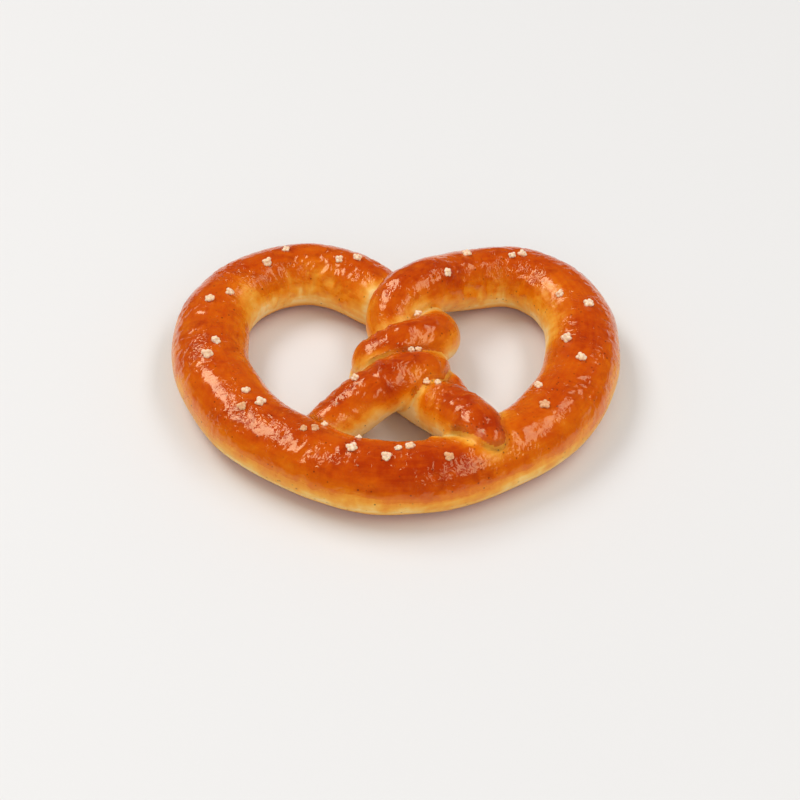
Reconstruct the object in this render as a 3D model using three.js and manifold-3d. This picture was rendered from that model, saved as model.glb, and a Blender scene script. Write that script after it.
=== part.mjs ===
// A soft pretzel: one rolled rope of dough, crossed and twisted three times, with its
// ends pressed on to the front arc, baked as one piece and strewn with coarse salt.
// Millimetres, +Z up. It lies on z = 0. +Y runs from the front arc to the notch
// between the two lobes, and the origin is the middle of its footprint.
import * as THREE from "three";
import { mergeVertices } from "three/addons/utils/BufferGeometryUtils.js";
import Module from "manifold-3d";

const wasm = await Module();
wasm.setup();

// Driving dimensions
const SIDES = 16; // facets round the rope
const RING_STEP = 5.2; // distance between two sections along the rope
const BASE_SQUARENESS = 2.5; // exponent of the lower half of a section; 2 is an ellipse
const GRAIN_LOBES = 5;
const GRAIN_HEIGHT = 0.8; // a grain's height over its width
const GRAIN_WAIST = 0.76; // radius between two lobes over radius at a lobe
const GRAIN_SINK = 0.3; // share of a grain's height that lies in its seat in the crust
const SEAT_GAP = 0.35; // play between a grain and its seat

// The stations of a rope are: x, y, z of the centre, half the width, half the height.
// From the tail under the left of the front arc to the fold where the rope turns back.
const ROPE = [
  // tail, and the third crossing, on top
  [-32, -47.5, 8.5, 8, 7.5],
  [-17.5, -34, 12, 9.8, 9.4],
  [-6, -26, 16.5, 10, 9.6],
  [3, -21, 17.5, 9.8, 9.4],
  [10.5, -13.5, 13.5, 9, 9],
  // under the second crossing
  [9, -2, 9.5, 8.8, 8.6],
  [1, 7, 10.5, 9, 8.8],
  // first crossing, on top
  [-2, 15, 14, 9.8, 9.4],
  [1.5, 23.5, 18, 10.6, 10],
  [10.5, 32, 18.5, 11.2, 10.6],
  [21, 41.5, 14.5, 11.8, 11.2],
  // right lobe
  [32, 48, 11.2, 12.4, 11.5],
  [45, 49.5, 11, 12.8, 11.5],
  [57, 43.5, 11, 13.2, 11.6],
  [66, 30, 11, 13.5, 11.6],
  [69.6, 12.5, 11, 14, 11.8],
  [62, -25, 11, 14.4, 11.8],
  // front arc
  [36, -54, 11, 14, 11.8],
  [0, -66.5, 11, 13.8, 11.8],
  [-36, -52.5, 11, 14.2, 11.8],
  // left lobe
  [-62, -23, 11, 14.5, 11.8],
  [-69.6, 14, 11, 14.2, 11.8],
  [-65, 31, 11, 13.6, 11.7],
  [-55, 44, 11, 13.2, 11.6],
  [-41, 50.5, 11, 12.9, 11.6],
  [-27, 50, 11, 12.8, 11.6],
  // under the first crossing
  [-5, 36, 9.5, 12.2, 10.6],
  [9.5, 20, 8.5, 9.4, 8.6],
  // second crossing, on top
  [15.5, 9, 11, 9.2, 8.8],
  [12.5, 1, 16, 9.6, 9.4],
  [3, -3.5, 18, 9.7, 9.6],
  [-7, -9, 15.5, 9.6, 9.2],
  [-16, -15.5, 11, 9, 8.6],
];

// The free end of the rope, out from under the third crossing on to the front arc.
const FREE_END = [
  [-9, -10, 9, 8.6, 8.4],
  [3, -17, 9.5, 8.8, 8.6],
  [10.5, -25, 10.5, 9.2, 8.6],
  [17.5, -33.5, 13.5, 9.8, 9.4],
  [24, -41.5, 16, 9.4, 9],
  [31, -51, 18.5, 7.6, 7.4],
  [37, -60, 19, 5, 5],
];

// The small fold of dough that shows behind the free end.
const FOLD = [
  [10, -14, 10, 7.5, 7.5],
  [17.5, -18.5, 9.5, 7.5, 7.5],
  [25, -26.5, 9.5, 6.5, 6],
];

// The salt grains: x, y and how wide each is. The crust gives the height.
const GRAINS = [
  // left lobe
  [-43, 52, 3.4],
  [-50, 44, 4.2],
  [-22, 46, 3.6],
  [-15, 47, 3.6],
  [-63, 25, 3.6],
  [-70, 20, 4.4],
  [-66, -5, 3.8],
  [-68, -13, 4.6],
  [-53, -34, 3.6],
  [-48, -40, 4],
  [-54, -42, 3.6],
  // front arc
  [-32, -54, 2.6],
  [-28, -53, 3.2],
  [-25, -49, 2.4],
  [-13, -57, 2],
  [-15, -64, 4],
  [-3, -68, 4],
  [1, -64, 3],
  [5, -63, 4],
  [18, -68, 3.8],
  // right lobe
  [27, 47, 4.2],
  [45, 48, 3],
  [49, 49, 4],
  [19, 31, 4],
  [8.5, 12.6, 3.4],
  [62, 25, 3.8],
  [72, 17, 4.4],
  [63, -3, 4.4],
  [67, -15, 4.2],
  [51, -29, 3.8],
  [52, -41, 4.2],
  // twist
  [5.6, -11.2, 2.2],
  [8.1, -11, 2.2],
  [-14, -28, 3.4],
  [11, -27, 3],
  [15, -28, 2.2],
];

const curveThrough = (points) => new THREE.CatmullRomCurve3(points);
const curveOf = (stations) => curveThrough(stations.map(([x, y, z]) => new THREE.Vector3(x, y, z)));
const sizesOf = (stations) => curveThrough(stations.map(([, , , w, h]) => new THREE.Vector3(w, h, 0)));

// The section of a rope at t along it: its centre, its two directions and half sizes.
function sectionFrame(curve, sizes, t) {
  const along = curve.getTangent(t);
  const side = new THREE.Vector3(along.y, -along.x, 0).normalize();
  const up = new THREE.Vector3().crossVectors(side, along);
  const { x: width, y: height } = sizes.getPoint(t);
  return { centre: curve.getPoint(t), side, up, width, height };
}

// A point on the skin of a section, at an angle round it from its right-hand side. A
// scale under 1 draws the section in. The lower half is squarer, as dough settles.
function skinPoint({ centre, side, up, width, height }, angle, scale = 1) {
  const c = Math.cos(angle);
  const s = Math.sin(angle);
  const power = s < 0 ? 2 / BASE_SQUARENESS : 1;
  const across = Math.sign(c) * Math.abs(c) ** power * width * scale;
  const rise = Math.sign(s) * Math.abs(s) ** power * height * scale;
  return centre.clone().addScaledVector(side, across).addScaledVector(up, rise);
}

// Sections at even steps along a rope, the first and last few drawn in to a round end.
function ringsOf(stations) {
  const curve = curveOf(stations);
  const sizes = sizesOf(stations);
  const length = curve.getLength();
  const steps = Math.ceil(length / RING_STEP);
  const nearEnd = (0.3 * RING_STEP) / length;
  const places = [0.02 / length, nearEnd];
  for (let i = 1; i < steps; i++) places.push(i / steps);
  places.push(1 - nearEnd, 1 - 0.02 / length);
  const angles = Array.from({ length: SIDES }, (_, k) => (2 * Math.PI * k) / SIDES);
  return places.map((u) => {
    const frame = sectionFrame(curve, sizes, curve.getUtoTmapping(u));
    const fromEnd = Math.min(1, (Math.min(u, 1 - u) * length) / frame.width);
    const scale = Math.sqrt(1 - (1 - fromEnd) ** 2);
    return angles.map((angle) => skinPoint(frame, angle, scale));
  });
}

// A closed skin through a run of sections, with a fan over each end.
function tubeGeometry(rings) {
  const corners = [];
  const middle = (ring) => ring.reduce((sum, p) => sum.add(p), new THREE.Vector3()).divideScalar(SIDES);
  const [first, last] = [rings[0], rings[rings.length - 1]];
  const [firstMiddle, lastMiddle] = [middle(first), middle(last)];
  for (let k = 0; k < SIDES; k++) {
    const next = (k + 1) % SIDES;
    corners.push(firstMiddle, first[k], first[next], lastMiddle, last[next], last[k]);
    for (let i = 1; i < rings.length; i++) {
      const [low, high] = [rings[i - 1], rings[i]];
      corners.push(low[k], high[next], low[next], low[k], high[k], high[next]);
    }
  }
  return new THREE.BufferGeometry().setFromPoints(corners);
}

// A closed geometry as a solid, and back.
function solidFrom(geometry) {
  const bare = geometry.index ? geometry.toNonIndexed() : geometry.clone();
  bare.deleteAttribute("normal");
  bare.deleteAttribute("uv");
  const merged = mergeVertices(bare, 1e-4);
  return new wasm.Manifold(
    new wasm.Mesh({
      numProp: 3,
      vertProperties: new Float32Array(merged.attributes.position.array),
      triVerts: new Uint32Array(merged.index.array),
    }),
  );
}

function geometryFrom(solid) {
  const mesh = solid.getMesh();
  const geometry = new THREE.BufferGeometry();
  geometry.setAttribute("position", new THREE.BufferAttribute(new Float32Array(mesh.vertProperties), 3));
  geometry.setIndex(new THREE.BufferAttribute(new Uint32Array(mesh.triVerts), 1));
  return geometry;
}

// A rope that crosses itself is joined from lengths that don't, end to end.
function ropeSolid(stations, lengths) {
  const rings = ringsOf(stations);
  const share = (rings.length - 1) / lengths;
  const cuts = Array.from({ length: lengths + 1 }, (_, i) => Math.round(i * share));
  const solids = cuts.slice(1).map((end, i) => solidFrom(tubeGeometry(rings.slice(cuts[i], end + 1))));
  return solids.reduce((whole, solid) => whole.add(solid));
}

// Pockets shut in between the strands have closed up in the baking, so only the
// outer skin is kept.
function withoutPockets(solid) {
  return solid.decompose().reduce((best, next) => (next.volume() > best.volume() ? next : best));
}

// The tray the dough lay on cuts the underside flat.
const tray = new THREE.BoxGeometry(400, 400, 60).translate(0, 0, -30);
const ropes = ropeSolid(ROPE, 6).add(ropeSolid(FREE_END, 1)).add(ropeSolid(FOLD, 1));
const bareDough = withoutPockets(ropes.subtract(solidFrom(tray)));

// A knobbly grain standing on +Z: every other corner round it is a lobe.
function grainGeometry(width) {
  const geometry = new THREE.SphereGeometry(width / 2, 2 * GRAIN_LOBES, 4);
  const corners = geometry.attributes.position;
  for (let i = 0; i < corners.count; i++) {
    const [x, y, z] = [corners.getX(i), corners.getZ(i), corners.getY(i)];
    const turn = Math.round((Math.atan2(y, x) * GRAIN_LOBES) / Math.PI);
    const reach = turn % 2 ? GRAIN_WAIST : 1;
    corners.setXYZ(i, x * reach, -y * reach, z * GRAIN_HEIGHT);
  }
  return geometry;
}

// The seat is a plain round dent, with play all round the grain.
const seatGeometry = (width) =>
  new THREE.IcosahedronGeometry(1, 1).scale(
    width / 2 + SEAT_GAP,
    width / 2 + SEAT_GAP,
    (width / 2) * GRAIN_HEIGHT + SEAT_GAP,
  );

// Where a grain stands: dropped on to the crust, upright to it, and sunk by its share.
const bareCrust = new THREE.Mesh(geometryFrom(bareDough));
const dropper = new THREE.Raycaster();
function standing([x, y, width], i) {
  dropper.set(new THREE.Vector3(x, y, 100), new THREE.Vector3(0, 0, -1));
  const { point, face } = dropper.intersectObject(bareCrust)[0];
  const upright = new THREE.Quaternion().setFromUnitVectors(new THREE.Vector3(0, 0, 1), face.normal);
  const turned = new THREE.Quaternion().setFromAxisAngle(new THREE.Vector3(0, 0, 1), i);
  const lift = width * GRAIN_HEIGHT * (0.5 - GRAIN_SINK);
  const place = point.clone().addScaledVector(face.normal, lift);
  return new THREE.Matrix4().compose(place, upright.multiply(turned), new THREE.Vector3(1, 1, 1));
}

const stands = GRAINS.map(standing);
const seats = stands.map((stand, i) => solidFrom(seatGeometry(GRAINS[i][2]).applyMatrix4(stand)));
const dough = seats.reduce((solid, seat) => solid.subtract(seat), bareDough);

const pretzel = new THREE.Group();
const crust = new THREE.MeshStandardMaterial({ color: 0xb8611c, roughness: 0.35, metalness: 0 });
const salt = new THREE.MeshStandardMaterial({ color: 0xf1e2cf, roughness: 0.6, metalness: 0 });

const addPiece = (name, geometry, material) => {
  const piece = new THREE.Mesh(geometry, material);
  piece.name = name;
  pretzel.add(piece);
};
addPiece("baked_dough", geometryFrom(dough), crust);
stands.forEach((stand, i) => {
  const name = `salt_grain_${String(i + 1).padStart(2, "0")}`;
  addPiece(name, grainGeometry(GRAINS[i][2]).applyMatrix4(stand), salt);
});

// The middle of the footprint goes to the origin.
const middle = new THREE.Box3().setFromObject(bareCrust).getCenter(new THREE.Vector3());
pretzel.position.set(-middle.x, -middle.y, 0);

export default pretzel;
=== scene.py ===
import math
import random

import bpy
import numpy as np
from mathutils import Matrix, Vector, noise
from mathutils.bvhtree import BVHTree


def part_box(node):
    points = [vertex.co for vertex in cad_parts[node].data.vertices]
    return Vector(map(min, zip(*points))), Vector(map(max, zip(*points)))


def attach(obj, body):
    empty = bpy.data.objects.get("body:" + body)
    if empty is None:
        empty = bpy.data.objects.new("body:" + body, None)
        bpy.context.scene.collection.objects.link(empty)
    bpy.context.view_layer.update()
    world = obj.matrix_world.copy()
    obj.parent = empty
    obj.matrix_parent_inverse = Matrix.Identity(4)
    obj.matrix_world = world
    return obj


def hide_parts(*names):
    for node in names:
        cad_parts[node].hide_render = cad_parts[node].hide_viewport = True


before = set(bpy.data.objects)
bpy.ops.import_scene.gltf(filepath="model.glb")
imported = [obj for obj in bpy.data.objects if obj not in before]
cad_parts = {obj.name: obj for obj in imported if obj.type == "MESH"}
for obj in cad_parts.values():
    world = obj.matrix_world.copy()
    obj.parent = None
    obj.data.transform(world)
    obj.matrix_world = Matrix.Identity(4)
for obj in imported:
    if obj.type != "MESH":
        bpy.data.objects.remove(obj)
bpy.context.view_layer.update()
mm = 0.001
fullTurn = 6.28  # radians, near enough for a random turn
upwards = Vector((0, 0, 1))
scene = bpy.context.scene
print("frame loaded")

# camera and light
view = {
    "lens": 85,
    "aim": (1.6, -3.9, 0),  # mm
    "distance": 700,  # mm
    "downwards": 40.4,  # degrees below level
}


def addCamera():
    tilt = math.radians(view["downwards"])
    back = Vector((0, -math.cos(tilt), math.sin(tilt)))
    place = Vector(view["aim"]) * mm + back * view["distance"] * mm
    bpy.ops.object.camera_add(location=place, rotation=(math.pi / 2 - tilt, 0, 0))
    camera = bpy.context.object
    camera.data.lens = view["lens"]
    camera.data.clip_start = 0.01
    scene.camera = camera


light = {
    # where each softbox hangs, its width and length in metres, its power in watts
    "leftSoftbox": ((-1.07, 0.79, 1.75), (0.78, 1.55), 22.5),
    "rightSoftbox": ((1.17, 0.00, 1.87), (0.60, 2.60), 15.6),
    "frontFill": ((0.1, -1.75, 0.95), (2.0, 1.0), 8.5),  # too soft to show in the glaze
    "colour": (1.0, 0.985, 0.965),
    "room": (1.0, 0.99, 0.98),
    "roomStrength": 0.50,
    "roomInGloss": 0.05,  # the studio's walls are dark where the glaze mirrors them
    "roomSeen": 0.85,
}
floorLook = {
    "size": 6,  # metres
    "colour": (0.79, 0.787, 0.784),
    "roughness": 0.55,
}


def addLights():
    for name in ("leftSoftbox", "rightSoftbox", "frontFill"):
        at, size, watts = light[name]
        back = Vector(at).normalized()
        side = Vector((0, 1, 0)).cross(back).normalized()
        turn = Matrix((side, back.cross(side), back)).transposed().to_euler()
        bpy.ops.object.light_add(type="AREA", location=at, rotation=turn)
        lamp = bpy.context.object
        lamp.name = name
        lamp.data.shape = "RECTANGLE"
        lamp.data.size, lamp.data.size_y = size
        lamp.data.energy = watts
        lamp.data.color = light["colour"]
        lamp.visible_glossy = name != "frontFill"


def addRoom():
    # the room lights the dough more than the glaze mirrors it
    room = bpy.data.worlds.new("paleRoom")
    room.use_nodes = True
    nodes, links = room.node_tree.nodes, room.node_tree.links
    background = nodes["Background"]
    background.inputs["Color"].default_value = (*light["room"], 1)
    ray = nodes.new("ShaderNodeLightPath")
    strength = nodes.new("ShaderNodeMix")
    strength.inputs["A"].default_value = light["roomStrength"]
    strength.inputs["B"].default_value = light["roomInGloss"]
    links.new(ray.outputs["Is Glossy Ray"], strength.inputs["Factor"])
    seen = nodes.new("ShaderNodeMix")
    seen.inputs["B"].default_value = light["roomSeen"]
    links.new(ray.outputs["Is Camera Ray"], seen.inputs["Factor"])
    links.new(strength.outputs["Result"], seen.inputs["A"])
    links.new(seen.outputs["Result"], background.inputs["Strength"])
    scene.world = room


def addFloor():
    bpy.ops.mesh.primitive_plane_add(size=floorLook["size"], location=(0, 0, 0))
    floor = bpy.context.object
    floor.name = "paleFloor"
    surface = bpy.data.materials.new("paleFloor")
    surface.use_nodes = True
    shader = surface.node_tree.nodes["Principled BSDF"]
    shader.inputs["Base Color"].default_value = (*floorLook["colour"], 1)
    shader.inputs["Roughness"].default_value = floorLook["roughness"]
    floor.data.materials.append(surface)


addCamera()
addLights()
addRoom()
addFloor()
scene.view_settings.view_transform = "Standard"
print("camera, lights and floor placed")

# the dough
dough = {
    # stations of a rope: x, y, z of its middle, half its width, half its height, in mm
    "rope": [
        (-32, -47.5, 8.5, 8, 7.5), (-17.5, -34, 12, 9.8, 9.4), (-6, -26, 16.5, 10, 9.6),
        (3, -21, 17.5, 9.8, 9.4), (10.5, -13.5, 13.5, 9, 9), (9, -2, 9.5, 8.8, 8.6),
        (1, 7, 10.5, 9, 8.8), (-2, 15, 14, 9.8, 9.4), (1.5, 23.5, 18, 10.6, 10),
        (10.5, 32, 18.5, 11.2, 10.6), (21, 41.5, 14.5, 11.8, 11.2), (32, 48, 11.2, 12.4, 11.5),
        (45, 49.5, 11, 12.8, 11.5), (57, 43.5, 11, 13.2, 11.6), (66, 30, 11, 13.5, 11.6),
        (69.6, 12.5, 11, 14, 11.8), (62, -25, 11, 14.4, 11.8), (36, -54, 11, 14, 11.8),
        (0, -66.5, 11, 13.8, 11.8), (-36, -52.5, 11, 14.2, 11.8), (-62, -23, 11, 14.5, 11.8),
        (-69.6, 14, 11, 14.2, 11.8), (-65, 31, 11, 13.6, 11.7), (-55, 44, 11, 13.2, 11.6),
        (-41, 50.5, 11, 12.9, 11.6), (-27, 50, 11, 12.8, 11.6), (-5, 36, 9.5, 12.2, 10.6),
        (9, 21.5, 8.8, 9.4, 8.8), (14.6, 11.4, 12, 9.4, 9.2), (12, 2.4, 16.4, 9.8, 9.5),
        (3, -3.5, 18, 9.7, 9.6), (-7, -9, 15.5, 9.6, 9.2),
    ],
    "freeEnd": [
        (-9, -10, 9, 8.6, 8.4), (3, -17, 9.5, 8.8, 8.6), (10.5, -25, 10.5, 9.2, 8.6),
        (17.5, -33.8, 13.8, 10, 9.6), (24, -42.6, 16.8, 10.2, 9.6), (29.2, -51.4, 18.4, 9.8, 9),
        (32.4, -57.3, 18.6, 7.8, 7.2),
    ],
    "fold": [(10, -14, 10, 7.5, 7.5), (16.4, -17.6, 9.8, 7.5, 7.5), (20.6, -23, 9.5, 6.7, 6.3)],
    # the front arc bulges a little where the free end is pressed on to it
    "lip": [
        (13, -55, 17.5, 2.4, 2.2), (20.5, -60.6, 20, 2.6, 2.2), (28, -65.5, 19, 2.6, 2.2),
        (34, -64, 15, 2, 2),
    ],
    "steps": 10,  # rings from one station to the next
    "startTip": 0.96,  # a tip's size over the rope's own
    "endTip": 0.98,
    "grain": 0.82,  # mm, size of the mesh's cells
    "evenings": 4,
}


def readPoints(piece):
    values = np.empty(len(piece.data.vertices) * 3)
    piece.data.vertices.foreach_get("co", values)
    return values.reshape(-1, 3)


def writePoints(piece, points):
    piece.data.vertices.foreach_set("co", points.ravel())
    piece.data.update()


def readNormals(piece):
    values = np.empty(len(piece.data.vertices) * 3)
    piece.data.vertex_normals.foreach_get("vector", values)
    return values.reshape(-1, 3)


def storeValues(piece, name, values, kind="FLOAT"):
    layer = piece.data.attributes.new(name, kind, "POINT")
    field = "value" if kind == "FLOAT" else "vector"
    layer.data.foreach_set(field, np.ascontiguousarray(values).ravel())


def applyModifier(piece, kind, **values):
    bpy.context.view_layer.objects.active = piece
    modifier = piece.modifiers.new(kind.lower(), kind)
    for key, value in values.items():
        setattr(modifier, key, value)
    bpy.ops.object.modifier_apply(modifier=modifier.name)


def layRope(name, stations):
    bpy.ops.object.select_all(action="DESELECT")
    bpy.ops.curve.primitive_bezier_curve_add(location=(0, 0, 0))
    rope = bpy.context.object
    rope.name = name
    spline = rope.data.splines[0]
    spline.radius_interpolation = "CARDINAL"
    spline.bezier_points.add(len(stations) - 2)
    for point, (x, y, z, halfWidth, halfHeight) in zip(spline.bezier_points, stations):
        point.co = Vector((x, y, z)) * mm
        point.radius = halfWidth
        point.handle_left_type = point.handle_right_type = "AUTO"
    rope.data.dimensions = "3D"
    rope.data.bevel_depth = mm
    rope.data.bevel_resolution = 12
    rope.data.resolution_u = dough["steps"]
    bpy.ops.object.convert(target="MESH")
    rope = bpy.context.object
    # each ring is flattened to its own height
    rings = (len(stations) - 1) * dough["steps"] + 1
    around = len(rope.data.vertices) // rings
    points = readPoints(rope).reshape(rings, around, 3)
    middles = points.mean(axis=1)
    where = np.linspace(0, len(stations) - 1, rings)
    flat = [station[4] / station[3] for station in stations]
    flat = np.interp(where, range(len(stations)), flat)
    offset = points - middles[:, None]
    offset[..., 2] *= flat[:, None]
    writePoints(rope, (middles[:, None] + offset).reshape(-1, 3))
    bpy.ops.object.mode_set(mode="EDIT")
    bpy.ops.mesh.select_all(action="SELECT")
    bpy.ops.mesh.fill_holes(sides=0)
    bpy.ops.mesh.normals_make_consistent(inside=False)
    bpy.ops.object.mode_set(mode="OBJECT")
    return rope, middles, np.linalg.norm(offset, axis=2).max(axis=1)


def roundTip(middle, radius):
    bpy.ops.object.select_all(action="DESELECT")
    bpy.ops.mesh.primitive_uv_sphere_add(
        segments=32, ring_count=16, radius=radius, location=middle)
    return bpy.context.object


def makeDough():
    parts = []
    strands = []
    for name in ("rope", "freeEnd", "fold", "lip"):
        piece, middles, radii = layRope(name, dough[name])
        parts.append(piece)
        strands.append((middles, radii))
        parts.append(roundTip(middles[0], radii[0] * dough["startTip"]))
        parts.append(roundTip(middles[-1], radii[-1] * dough["endTip"]))
    bpy.ops.object.select_all(action="DESELECT")
    for part in parts:
        part.select_set(True)
    bpy.context.view_layer.objects.active = parts[0]
    bpy.ops.object.join()
    crust = bpy.context.object
    crust.name = crust.data.name = "pretzelCrust"
    applyModifier(crust, "REMESH", mode="VOXEL", voxel_size=dough["grain"] * mm)
    applyModifier(crust, "SMOOTH", factor=0.5, iterations=dough["evenings"])
    # laid on the floor, over the middle of its CAD solid
    low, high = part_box("baked_dough")
    points = readPoints(crust)
    middle = (points.max(axis=0) + points.min(axis=0)) / 2
    shift = (np.array(low) + np.array(high)) / 2 - middle
    shift[2] = 0
    writePoints(crust, points + shift)
    return crust, [(middles + shift, radii) for middles, radii in strands]


crust, strands = makeDough()
print("dough shaped:", len(crust.data.vertices), "points", len(crust.data.polygons), "faces")

# how it baked
baking = {
    "rays": 16,  # for each point, to see how open it lies to the heat
    "rayTurn": 2.39996,  # radians from one ray to the next
    "reach": 60,  # mm, how far another strand still shades it
    "evenOut": 10,  # passes that even the result out over the crust
    "nextStrand": 0.035,  # metres along the rope, from where dough counts as another strand
    "outerFlank": 0.06,  # less baked on the outside of the loops, more on their inside
    # spots that browned more: x, y, radius in mm, and how much
    "browned": [
        (36, -48, 8, 0.9), (24, -36, 9, 0.3), (3, -5, 12, 0.25), (-8, -18, 12, 0.25),
        (23, -14, 6, 0.6), (0, -66, 11, 0.55), (16, -66, 10, 0.45), (-20, -62, 10, 0.35),
        (36, -63, 9, 0.35), (47, -56, 9, 0.25), (8, 24, 10, 0.2),
    ],
    # spots where the dough stretched and stayed paler
    "stretched": [
        (8, 23, 4.5, 0.8), (11, 27.5, 3.5, 0.5), (3, 19, 3, 0.4), (-5, 17, 3.5, 0.45),
        (-10, 39, 4, 0.8), (-8, 26, 3.5, 0.5), (-14, -1, 3.5, 0.3), (-2, -6, 3, 0.5),
        (-8, -7.5, 3.5, 0.55), (-13, -7, 3.5, 0.45), (6, 0, 5, 0.2), (-56, 36, 8, 0.7),
        (58, 35, 8, 0.7), (58, 18, 6, 0.7), (-18, 62, 6, 0.3), (13, 50, 6, 0.5),
        (40, 49, 6, 0.3), (-38, 50, 7, 0.3), (55, 10, 6, 0.8), (-25, 50, 6, 0.2),
        (44, -60, 6, 0.25), (47, -46, 6, 0.25), (12, 55, 6, 0.3), (16, -47, 4, 0.6),
        (25, -52, 3.5, 0.6), (32, -58, 4.5, 0.6), (36, -52, 4.5, 0.5),
    ],
    # flanks that caught more heat than they lie open to
    "caught": [
        (0, -26, 5, 0.35), (33, -64, 9, 0.35), (20, -70, 10, 0.3), (22, 38, 7, 0.45),
        (-1, -26, 4, 0.2),
    ],
}


def evenOut(piece, values, passes):
    edges = np.empty(len(piece.data.edges) * 2, dtype=np.int64)
    piece.data.edges.foreach_get("vertices", edges)
    a, b = edges.reshape(-1, 2).T
    count = np.bincount(a, minlength=len(values)) + np.bincount(b, minlength=len(values))
    for _ in range(passes):
        total = np.bincount(a, values[b], len(values)) + np.bincount(b, values[a], len(values))
        values = 0.5 * values + 0.5 * total / count
    return values


def fade(value, low, high):
    return np.clip((value - low) / (high - low), 0, 1)


def centreLines(strands):
    # the middles of all strands, how thick they are, how far along, and which way they run
    middles, radii, alongs, aheads = [], [], [], []
    start = 0.0
    for line, thick in strands:
        fine = np.linspace(0, len(line) - 1, len(line) * 3)
        line = np.stack([np.interp(fine, range(len(line)), line[:, k]) for k in range(3)], axis=1)
        middles.append(line)
        radii.append(np.interp(fine, range(len(thick)), thick))
        steps = np.linalg.norm(np.diff(line, axis=0), axis=1)
        alongs.append(start + np.concatenate([[0], np.cumsum(steps)]))
        start = alongs[-1][-1] + 0.2
        ahead = np.gradient(line, axis=0)
        for _ in range(6):
            ahead[1:-1] = (ahead[:-2] + ahead[2:] + ahead[1:-1]) / 3
        aheads.append(ahead / np.linalg.norm(ahead, axis=1)[:, None])
    return [np.concatenate(part) for part in (middles, radii, alongs, aheads)]


def layOut(crust, strands):
    # where each point lies on its strand, and how near and how high the next strand is
    points = readPoints(crust)
    middles, radii, alongs, aheads = centreLines(strands)
    along, around, gap, above = np.empty((4, len(points)))
    for first in range(0, len(points), 4000):
        part = slice(first, first + 4000)
        batch = points[part]
        away = np.linalg.norm(batch[:, None] - middles[None], axis=2) - radii[None]
        own = away.argmin(axis=1)
        offset = batch - middles[own]
        beyond = np.clip((offset * aheads[own]).sum(axis=1), -0.0004, 0.0004)
        along[part] = alongs[own] + beyond
        side = np.cross(aheads[own], upwards)
        side /= np.linalg.norm(side, axis=1)[:, None]
        around[part] = np.arctan2((offset * side).sum(axis=1), offset[:, 2]) * radii[own]
        elsewhere = abs(alongs[None] - alongs[own][:, None]) > baking["nextStrand"]
        other = np.where(elsewhere, away, 1.0)
        nextOne = other.argmin(axis=1)
        gap[part] = other.min(axis=1)
        above[part] = middles[nextOne][:, 2] - middles[own][:, 2]
    return evenOut(crust, along, 5), evenOut(crust, around, 2), gap, above


def openness(piece):
    random.seed(7)
    tree = BVHTree.FromObject(piece, bpy.context.evaluated_depsgraph_get())
    spread = []
    for i in range(baking["rays"]):
        height = math.sqrt(1 - (i + 0.5) / baking["rays"])
        turn = i * baking["rayTurn"]
        flat = math.sqrt(1 - height * height)
        spread.append(Vector((flat * math.cos(turn), flat * math.sin(turn), height)))
    points = readPoints(piece)
    share = np.zeros(len(points))
    for i, (point, normal) in enumerate(zip(points, readNormals(piece))):
        normal = Vector(normal)
        start = Vector(point) + normal * 0.0004  # just off the crust
        turn = normal.to_track_quat("Z", "Y").to_matrix()
        turn = turn @ Matrix.Rotation(random.random() * fullTurn, 3, "Z")
        seen = 0
        for ray in spread:
            way = turn @ ray
            if way.z > 0 and tree.ray_cast(start, way, baking["reach"] * mm)[0] is None:
                seen += 1
        share[i] = seen / len(spread)
    return evenOut(piece, share, baking["evenOut"])


def spots(crust, places):
    flat = readPoints(crust)[:, :2] / mm
    total = np.zeros(len(flat))
    for x, y, radius, amount in places:
        away = np.linalg.norm(flat - (x, y), axis=1)
        total += amount * np.exp(-(away / radius) ** 2)
    return total


# relief of the crust
relief = {
    # heights are in mm, and sizes are in mm along the strand and round it
    "unevenness": 0.55,  # slow swelling of the rope
    "swellSize": 17,
    "wrinkles": 0.46,  # crinkled skin along the top
    "wrinkleSize": (3.0, 4.6),
    "fineSize": (1.8, 2.6),
    "patchSize": 15,  # the skin crinkles in patches
    "leastWrinkled": 0.35,  # share of the wrinkles between them
    "ribs": 0.85,  # short folds across the strands of the twist
    "ribSize": (5.2, 11),
    "pinches": 1.25,  # crumpled dough inside the bends
    "pinchSize": (6, 6.5),
    "twist": (4, -12, 30),  # x, y and radius in mm of the part with ribs
    "bends": (1, 33, 38, 17),  # x between the lobes, then x, y and radius of each bend
    "blisters": 0.75,  # bubbles in the skin
    "blistersAbove": 16,  # mm, they rise on the top only
    # x, y in mm from the middle of the pretzel, width
    "bubbles": [
        (7, 27, 3.2), (2, -3, 3.4), (-5, -17, 3.2), (-52, -32, 3.0), (-60, 37, 2.6),
        (38, 58, 2.4), (63, 12, 2.6), (-26, 59, 2.4), (-14, -52, 2.6), (25, -56, 2.6),
    ],
}


def ridge(x, y, z):
    return 1 - abs(noise.noise(Vector((x, y, z)))) * 2.2


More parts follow.
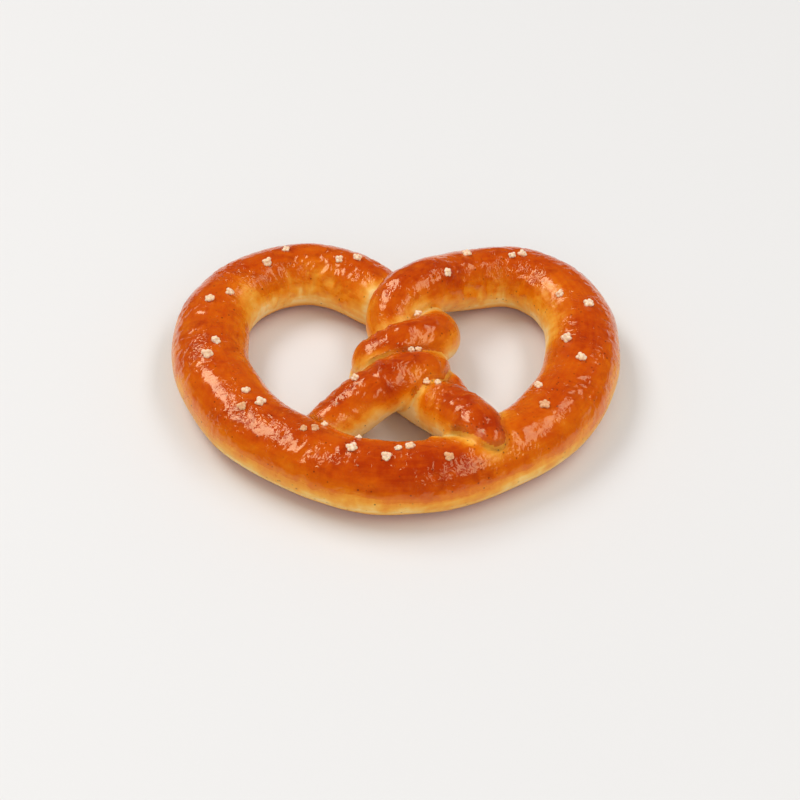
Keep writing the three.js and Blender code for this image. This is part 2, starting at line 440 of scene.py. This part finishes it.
def shapeSkin(crust, along, around, gap, share):
    points = readPoints(crust)
    normals = readNormals(crust)
    place = points / mm
    top = fade(share, 0.45, 0.8) * fade(gap / mm, 0.5, 4)
    x, y, radius = relief["twist"]
    twist = np.exp(-((place[:, 0] - x) ** 2 + (place[:, 1] - y) ** 2) / radius ** 2)
    # the two lobes crumple where their rope is bent, on the flank over the loop
    middle, x, y, radius = relief["bends"]
    away = (abs(place[:, 0] - middle) - x) ** 2 + (place[:, 1] - y) ** 2
    inside = np.exp(-away / radius ** 2)
    inside *= fade(share, 0.2, 0.5) * fade(normals[:, 1], 0.2, -0.3)
    lift = np.zeros(len(points))
    large, patch = relief["swellSize"], relief["patchSize"]
    wrinkle, thin = relief["wrinkleSize"], relief["fineSize"]
    rib, pinch = relief["ribSize"], relief["pinchSize"]
    for i, (x, y, z) in enumerate(place):
        swell = noise.noise(Vector((x / large, y / large, z / large + 3)))
        lift[i] = relief["unevenness"] * swell
        if share[i] < 0.15:
            continue
        a, r = along[i] / mm, around[i] / mm
        bend = noise.noise(Vector((x / 7, y / 7, 5))) * 2.0
        patchy = noise.noise(Vector((x / patch, y / patch, 11))) + 0.30
        patchy = min(1, max(relief["leastWrinkled"], patchy * 2.2))
        crinkle = ridge((a + bend) / wrinkle[0], (r + bend) / wrinkle[1], 1) - 0.55
        fine = ridge((a + bend) / thin[0], (r - bend) / thin[1], 8) - 0.55
        lift[i] += relief["wrinkles"] * top[i] * patchy * (0.7 * crinkle + 0.3 * fine)
        folds = ridge(a / rib[0], r / rib[1] + bend * 0.12, 21) - 0.5
        lift[i] += relief["ribs"] * top[i] * twist[i] * folds
        crumple = ridge(a / pinch[0] + bend * 0.3, r / pinch[1] + bend * 0.2, 4) - 0.5
        lift[i] += relief["pinches"] * inside[i] * crumple
    for x, y, width in relief["bubbles"]:
        away = np.hypot(place[:, 0] - x, place[:, 1] - y) / (width / 2)
        onTop = place[:, 2] > relief["blistersAbove"]
        lift += relief["blisters"] * np.clip(1 - away ** 2, 0, 1) * onTop
    lift *= fade(gap / mm, -0.5, 2.5)
    points += normals * (lift * mm)[:, None]
    points[:, 2] = np.maximum(points[:, 2], 0)  # the tray keeps the underside flat
    writePoints(crust, points)
    return lift


# materials
def colour(red, green, blue):
    shades = [v / 255 for v in (red, green, blue)]
    return tuple(((v + 0.055) / 1.055) ** 2.4 if v > 0.04 else v / 12.92 for v in shades) + (1,)


class Sheet:
    # a node tree with short calls for the nodes used here
    def __init__(self, tree):
        self.tree = tree

    def join(self, value, socket):
        if isinstance(value, bpy.types.NodeSocket):
            self.tree.links.new(value, socket)
        else:
            socket.default_value = value

    def node(self, kind, inputs=(), **values):
        made = self.tree.nodes.new(kind)
        for key, value in values.items():
            setattr(made, key, value)
        for key, value in dict(inputs).items():
            self.join(value, made.inputs[key])
        return made

    def sum(self, how, *terms):
        return self.node("ShaderNodeMath", dict(enumerate(terms)), operation=how).outputs[0]

    def add(self, value, share, total):
        return self.sum("MULTIPLY_ADD", value, share, total)

    def sway(self, value, share, total):
        # adds a cloud's lighter and darker parts, up to share each way
        return self.add(self.sum("SUBTRACT", value, 0.5), share * 2, total)

    def range(self, value, low, high, to=(0.0, 1.0)):
        spread = {"Value": value, "From Min": low, "From Max": high,
                  "To Min": to[0], "To Max": to[1]}
        return self.node("ShaderNodeMapRange", spread, clamp=True).outputs["Result"]

    def mix(self, share, first, second):
        made = self.node("ShaderNodeMix", data_type="RGBA")
        for place, value in ((0, share), (6, first), (7, second)):
            self.join(value, made.inputs[place])
        return made.outputs[2]

    def cloud(self, place, scale, detail=3.0, rough=0.55, warp=0.0):
        values = {"Vector": place, "Scale": scale, "Detail": detail,
                  "Roughness": rough, "Distortion": warp}
        return self.node("ShaderNodeTexNoise", values).outputs["Fac"]

    def cells(self, place, scale):
        values = {"Vector": place, "Scale": scale}
        return self.node("ShaderNodeTexVoronoi", values).outputs["Distance"]

    def patches(self, place, scale, detail, low, high):
        values = {"Place": place, "Scale": scale, "Detail": detail, "Low": low, "High": high}
        return self.node("ShaderNodeGroup", values, node_tree=patches).outputs["Mask"]

    def stretched(self, place, by):
        return self.node("ShaderNodeMapping", {"Vector": place, "Scale": by}).outputs["Vector"]

    def read(self, name, out="Fac"):
        return self.node("ShaderNodeAttribute", attribute_name=name).outputs[out]

    def ramp(self, value, stops):
        made = self.node("ShaderNodeValToRGB", {"Fac": value})
        marks = made.color_ramp.elements
        while len(marks) < len(stops):
            marks.new(0.5)
        for mark, (at, shade) in zip(marks, stops):
            mark.position = at
            mark.color = shade
        return made.outputs["Color"]


def patchesGroup():
    # where the surface turns blotchy, shared by the crust and the salt
    group = bpy.data.node_groups.new("patches", "ShaderNodeTree")
    group.interface.new_socket(name="Place", in_out="INPUT", socket_type="NodeSocketVector")
    for name in ("Scale", "Detail", "Low", "High"):
        group.interface.new_socket(name=name, in_out="INPUT", socket_type="NodeSocketFloat")
    group.interface.new_socket(name="Mask", in_out="OUTPUT", socket_type="NodeSocketFloat")
    sheet = Sheet(group)
    given = sheet.node("NodeGroupInput").outputs
    cloud = sheet.cloud(given["Place"], given["Scale"], given["Detail"], 0.6, 0.5)
    sheet.node("NodeGroupOutput", {"Mask": sheet.range(cloud, given["Low"], given["High"])})
    return group


def newMaterial(name):
    made = bpy.data.materials.new(name)
    made.use_nodes = True
    sheet = Sheet(made.node_tree)
    shader = made.node_tree.nodes["Principled BSDF"]
    return made, sheet, shader, sheet.node("ShaderNodeTexCoord").outputs["Object"]


patches = patchesGroup()

crustLook = {
    # how baked it is, from 0 to 1, and its colour
    "bake": [
        (0.06, colour(252, 226, 166)), (0.22, colour(248, 192, 96)), (0.33, colour(243, 164, 48)),
        (0.44, colour(234, 136, 18)), (0.55, colour(223, 112, 6)), (0.67, colour(213, 94, 3)),
        (0.82, colour(201, 76, 2)), (1.0, colour(176, 50, 1)),
    ],
    "shareOfOpenness": 0.81,
    "browned": 0.35,
    "fingers": 0.13,  # tongues of colour down the flanks
    "patchiness": 0.30,
    "mottling": 0.12,  # smaller patches
    "streaks": 0.13,
    "raised": 0.12,  # how much browner a fold bakes for each mm it stands out
    "beside": -0.30,  # paler where the next strand shades it
    "crease": 0.36,  # how far the floor of a crease is darkened to golden-orange: painted warm shade
    "tray": (0.12, 0.56),  # how dark the skin is 7.5 mm up, and at the tray: real tray browning together with painted contact shade
    "blotch": colour(160, 44, 6),
    "blotches": 0.55,
    "speck": colour(96, 34, 10),
    "specks": 0.75,
    "bump": 0.0007,  # metres, depth of the finest crinkles
    "pimples": 0.22,
    "pores": 0.006,
    "paleRoughness": 0.46,
    "glazedRoughness": 0.09,
    "unevenGloss": 0.09,
    "glaze": 0.12,
    "glazeRoughness": 0.12,
    "mirror": 0.62,
    "mirrorTint": (1.0, 0.92, 0.52, 1),
    "glow": 0.10,
    "glowColour": (1.0, 0.42, 0.16),
    "glowDepth": 0.003,  # metres
    # scales of the patterns: the larger, the finer
    "patchScale": 70,
    "mottlingScale": 260,
    "fingerScale": (0.17, 0.10, 1.0),  # along the strand, round it
    "streakScale": (0.05, 0.55, 1.0),
    "blotchScale": 120,
    "speckScale": 420.0,
    "speckedScale": 190,  # of the patches with specks
    "crinkleScale": (0.42, 0.30, 1.0),
    "crinkledScale": 80,
    "pimpledScale": 150,
    "poreScale": 1500,
    "roughnessScale": 400,
}


def bakeAndShadeShare(sheet, place, strand, gap):
    # how far it browned: open skin most, flanks hidden from the heat less, stretched dough least;
    # crease floors and the skin by the tray also carry painted shade
    look = crustLook
    bakeAndShade = sheet.sum("MULTIPLY", sheet.read("openness"), look["shareOfOpenness"])
    bakeAndShade = sheet.add(sheet.read("browned"), look["browned"], bakeAndShade)
    fingers = sheet.cloud(sheet.stretched(strand, look["fingerScale"]), 1.0, 3, 0.6, 0.8)
    bakeAndShade = sheet.sway(fingers, look["fingers"], bakeAndShade)
    larger = sheet.cloud(place, look["patchScale"], 4, 0.6, 0.4)
    bakeAndShade = sheet.sway(larger, look["patchiness"], bakeAndShade)
    smaller = sheet.cloud(place, look["mottlingScale"], 3, 0.6)
    bakeAndShade = sheet.sway(smaller, look["mottling"], bakeAndShade)
    streaks = sheet.cloud(sheet.stretched(strand, look["streakScale"]), 1.0, 3, 0.6)
    bakeAndShade = sheet.sway(streaks, look["streaks"], bakeAndShade)
    bakeAndShade = sheet.add(sheet.read("lift"), look["raised"], bakeAndShade)
    higher = sheet.range(sheet.read("above"), -1.0, 4.0)
    beside = sheet.sum("MULTIPLY", sheet.range(gap, 6.0, 1.0), higher)
    bakeAndShade = sheet.add(beside, look["beside"], bakeAndShade)
    # the floor of a crease is held golden-orange: painted warm shade
    bakeAndShade = sheet.sum("MAXIMUM", bakeAndShade, sheet.range(gap, 2.0, 0.0, (0.0, look["crease"])))
    # darker towards the tray: real browning where it lay on the tray, with painted contact shade
    height = sheet.node("ShaderNodeSeparateXYZ", {"Vector": place}).outputs["Z"]
    return sheet.sum("MAXIMUM", bakeAndShade, sheet.range(height, 0.0075, 0.0, look["tray"]))


def crustColour(sheet, place, gap, bakeAndShade):
    look = crustLook
    shade = sheet.ramp(bakeAndShade, look["bake"])
    blotches = sheet.patches(place, look["blotchScale"], 4, 0.54, 0.68)
    blotches = sheet.sum("MULTIPLY", blotches, sheet.range(bakeAndShade, 0.45, 0.8))
    share = sheet.sum("MULTIPLY", blotches, look["blotches"])
    shade = sheet.mix(share, shade, look["blotch"])
    rare = sheet.patches(place, look["speckedScale"], 2, 0.49, 0.56)
    rare = sheet.sum("MAXIMUM", rare, sheet.range(gap, 3.0, 0.5))
    specks = sheet.range(sheet.cells(place, look["speckScale"]), 0.18, 0.10)
    specks = sheet.sum("MULTIPLY", specks, rare)
    return sheet.mix(sheet.sum("MULTIPLY", specks, look["specks"]), shade, look["speck"])


def crustSkin(sheet, place, strand):
    # fine crinkles in patches, tiny bubbles and pores
    look = crustLook
    crinkle = sheet.cloud(sheet.stretched(strand, look["crinkleScale"]), 1.0, 1.2, 0.5, 1.0)
    crinkle = sheet.sum("ABSOLUTE", sheet.sum("SUBTRACT", crinkle, 0.5))
    crinkled = sheet.cloud(place, look["crinkledScale"], 2)
    crinkled = sheet.range(crinkled, 0.44, 0.62, (0.12, 1.0))
    openSkin = sheet.range(sheet.read("openness"), 0.4, 0.75)
    crinkle = sheet.sum("MULTIPLY", crinkle, sheet.sum("MULTIPLY", crinkled, openSkin))
    pimples = sheet.range(sheet.cells(place, look["speckScale"]), 0.3, 0.0)
    pimpled = sheet.patches(place, look["pimpledScale"], 2, 0.5, 0.66)
    pimples = sheet.sum("MULTIPLY", pimples, pimpled)
    pimples = sheet.sum("MULTIPLY", pimples, look["pimples"])
    height = sheet.add(crinkle, -1.0, pimples)
    height = sheet.add(sheet.cloud(place, look["poreScale"], 2, 0.6), look["pores"], height)
    bump = {"Strength": 1.0, "Distance": look["bump"], "Height": height}
    return sheet.node("ShaderNodeBump", bump).outputs["Normal"]


def crustMaterial():
    look = crustLook
    made, sheet, shader, place = newMaterial("glazedCrust")
    strand = sheet.read("strandPlace", "Vector")
    gap = sheet.read("gap")
    bakeAndShade = bakeAndShadeShare(sheet, place, strand, gap)
    sheet.join(crustColour(sheet, place, gap, bakeAndShade), shader.inputs["Base Color"])
    sheet.join(crustSkin(sheet, place, strand), shader.inputs["Normal"])
    ends = (look["paleRoughness"], look["glazedRoughness"])
    rough = sheet.range(bakeAndShade, 0.25, 0.62, ends)
    rough = sheet.add(sheet.cloud(place, look["roughnessScale"], 3), look["unevenGloss"], rough)
    sheet.join(rough, shader.inputs["Roughness"])
    glaze = sheet.sum("MULTIPLY", sheet.range(bakeAndShade, 0.2, 0.6), look["glaze"])
    sheet.join(glaze, shader.inputs["Coat Weight"])
    shader.inputs["Coat Roughness"].default_value = look["glazeRoughness"]
    shader.inputs["Specular IOR Level"].default_value = look["mirror"]
    shader.inputs["Specular Tint"].default_value = look["mirrorTint"]
    shader.inputs["Subsurface Weight"].default_value = look["glow"]
    shader.inputs["Subsurface Radius"].default_value = look["glowColour"]
    shader.inputs["Subsurface Scale"].default_value = look["glowDepth"]
    return made


saltLook = {
    "pale": colour(255, 228, 200),
    "toasted": colour(252, 198, 148),
    "dot": colour(214, 160, 104),
    "brown": colour(206, 132, 62),
    "browning": 0.6,  # how brown the most toasted grains are
    "bump": 0.0003,  # metres
    "bumpStrength": 0.45,
    "roughness": (0.32, 0.6),
    "glow": 0.35,
    "glowColour": (1.0, 0.6, 0.35),
    "glowDepth": 0.0015,  # metres
    # scales of the patterns: the larger, the finer
    "toastedScale": 330,
    "dotScale": 1300,
    "facetScale": 900.0,
    "roughnessScale": 700,
}


def saltMaterial():
    look = saltLook
    made, sheet, shader, place = newMaterial("coarseSalt")
    toasted = sheet.read("toasted")
    warm = sheet.patches(place, look["toastedScale"], 3, 0.42, 0.72)
    warm = sheet.sum("MAXIMUM", warm, toasted)
    shade = sheet.mix(warm, look["pale"], look["toasted"])
    dots = sheet.patches(place, look["dotScale"], 2, 0.60, 0.72)
    shade = sheet.mix(dots, shade, look["dot"])
    browning = sheet.range(toasted, 0.5, 1.0, (0.0, look["browning"]))
    sheet.join(sheet.mix(browning, shade, look["brown"]), shader.inputs["Base Color"])
    bump = {"Strength": look["bumpStrength"], "Distance": look["bump"],
            "Height": sheet.cells(place, look["facetScale"])}
    bump = sheet.node("ShaderNodeBump", bump)
    sheet.join(bump.outputs["Normal"], shader.inputs["Normal"])
    rough = sheet.cloud(place, look["roughnessScale"], 2)
    rough = sheet.range(rough, 0.3, 0.7, look["roughness"])
    sheet.join(rough, shader.inputs["Roughness"])
    shader.inputs["Subsurface Weight"].default_value = look["glow"]
    shader.inputs["Subsurface Radius"].default_value = look["glowColour"]
    shader.inputs["Subsurface Scale"].default_value = look["glowDepth"]
    return made


# salt grains
grains = {
    "models": 6,
    "lobes": 6,
    # knobs of a model grain, in mm: least and most
    "core": 1.25,
    "out": (0.95, 1.25),
    "rise": (-0.3, 0.75),
    "knob": (0.55, 0.85),
    "topKnob": (0.6, 0.85),
    "cells": 0.16,  # mm, size of a grain's mesh cells, for a grain 4 mm wide
    "evenings": 3,
    "sink": 0.30,  # share of the width that lies in the crust
    "larger": 1.02,  # over its CAD solid, as the knobs reach out
    "least": 2.6,  # mm, width of the smallest
    "feel": 1.3,  # mm from its middle, where a grain feels for the crust
    "bridging": 2.6,  # how far it stands up out of a crease
    # mm up or down at the creases, beyond that
    "raised": {"salt_grain_25": 1.3, "salt_grain_32": -0.5, "salt_grain_33": -0.5},
    # grains near these places, in mm, browned more
    "toasted": [(18, -60), (52, -33), (-32, -46), (-54, -34)],
    "nearToasted": 5,  # mm
    "mostToasted": 0.85,
    "others": (0, 0.5),
    "heights": (0.85, 1.1),  # share of the width
}


def modelGrain(seed):
    random.seed(seed)
    bpy.ops.object.select_all(action="DESELECT")
    knobs = [((0, 0, 0), grains["core"])]
    start = random.random() * fullTurn
    for i in range(grains["lobes"]):
        turn = start + i * fullTurn / grains["lobes"] + random.uniform(-0.35, 0.35)
        out = random.uniform(*grains["out"])
        rise = random.uniform(*grains["rise"])
        middle = (out * math.cos(turn), out * math.sin(turn), rise)
        knobs.append((middle, random.uniform(*grains["knob"])))
    top = (random.uniform(-0.3, 0.3), random.uniform(-0.3, 0.3), 1.05)
    knobs.append((top, random.uniform(*grains["topKnob"])))
    parts = []
    for middle, radius in knobs:
        bpy.ops.mesh.primitive_ico_sphere_add(
            subdivisions=3, radius=radius * mm, location=Vector(middle) * mm)
        parts.append(bpy.context.object)
    for part in parts:
        part.select_set(True)
    bpy.context.view_layer.objects.active = parts[0]
    bpy.ops.object.join()
    nib = bpy.context.object
    nib.name = "grainModel%02d" % seed
    bpy.ops.object.transform_apply(location=True, rotation=True, scale=True)
    applyModifier(nib, "REMESH", mode="VOXEL", voxel_size=grains["cells"] * mm)
    applyModifier(nib, "SMOOTH", factor=0.5, iterations=grains["evenings"])
    return nib


def seatOf(tree, name, middle):
    # where the grain lies on the crust, and which way is up there
    reach = grains["feel"]
    hits = []
    for dx, dy in ((0, 0), (reach, 0), (-reach, 0), (0, reach), (0, -reach)):
        above = middle + Vector((dx * mm, dy * mm, 0.03))
        hits.append(tree.ray_cast(above, -upwards)[:2])
    spot = hits[0][0]
    normal = sum((hit[1] for hit in hits), Vector()).normalized()
    hollow = sum(hit[0].z for hit in hits) / len(hits) - spot.z
    spot.z += grains["bridging"] * max(hollow, 0) + grains["raised"].get(name, 0) * mm
    return spot, normal


def toastOf(middle):
    away = min(math.dist(middle[:2], (x * mm, y * mm)) for x, y in grains["toasted"])
    if away < grains["nearToasted"] * mm:
        return grains["mostToasted"]
    return random.uniform(*grains["others"])


def placeGrains(crust, surface):
    tree = BVHTree.FromObject(crust, bpy.context.evaluated_depsgraph_get())
    models = [modelGrain(seed + 1) for seed in range(grains["models"])]
    shapes = []
    for model in models:
        points = readPoints(model)
        middle = (points.max(axis=0) + points.min(axis=0)) / 2
        width = (points.max(axis=0) - points.min(axis=0))[:2].mean()
        shapes.append((points - middle) / width)
    names = sorted(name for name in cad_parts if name.startswith("salt_grain"))
    for i, name in enumerate(names):
        low, high = (Vector(v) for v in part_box(name))
        middle = (low + high) / 2
        width = max(sorted(high - low)[1] * grains["larger"], grains["least"] * mm)
        spot, normal = seatOf(tree, name, middle)
        random.seed(100 + i)
        turn = normal.to_track_quat("Z", "Y").to_matrix()
        turn = turn @ Matrix.Rotation(random.random() * fullTurn, 3, "Z")
        model = models[i % len(models)]
        grain = model.copy()
        grain.data = model.data.copy()
        scene.collection.objects.link(grain)
        grain.name = grain.data.name = name.replace("salt_grain", "saltNib")
        points = shapes[i % len(models)] * (1, 1, random.uniform(*grains["heights"]))
        points = points * width @ np.array(turn).T
        height = width * (0.42 - grains["sink"])
        writePoints(grain, points + np.array(spot + normal * height))
        storeValues(grain, "toasted", np.full(len(points), toastOf(middle)))
        grain.data.materials.clear()
        grain.data.materials.append(surface)
        for face in grain.data.polygons:
            face.use_smooth = True
        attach(grain, "root")
        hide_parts(name)
    for model in models:
        bpy.data.objects.remove(model)


along, around, gap, above = layOut(crust, strands[:3])  # the lip is part of the rope
share = openness(crust)
facing = readNormals(crust)
outwards = (facing[:, :2] * readPoints(crust)[:, :2]).sum(axis=1) / 0.06
share -= baking["outerFlank"] * np.clip(outwards, -1, 1) * fade(1 - share, 0.1, 0.5)
browned = spots(crust, baking["browned"]) * fade(facing[:, 2], 0.0, 0.45)
browned += spots(crust, baking["caught"]) - spots(crust, baking["stretched"])
lift = shapeSkin(crust, along, around, gap, share)
storeValues(crust, "browned", browned)
storeValues(crust, "lift", lift)
storeValues(crust, "openness", share)
storeValues(crust, "gap", gap / mm)
storeValues(crust, "above", above / mm)
strandPlace = np.stack([along, around, along * 0], axis=1) / mm
storeValues(crust, "strandPlace", strandPlace, "FLOAT_VECTOR")
print("baking worked out")

crust.data.materials.clear()
crust.data.materials.append(crustMaterial())
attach(crust, "root")
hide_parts("baked_dough")
bpy.ops.object.select_all(action="DESELECT")
crust.select_set(True)
bpy.context.view_layer.objects.active = crust
bpy.ops.object.shade_smooth()
print("crust finished")

placeGrains(crust, saltMaterial())
print("salt placed")
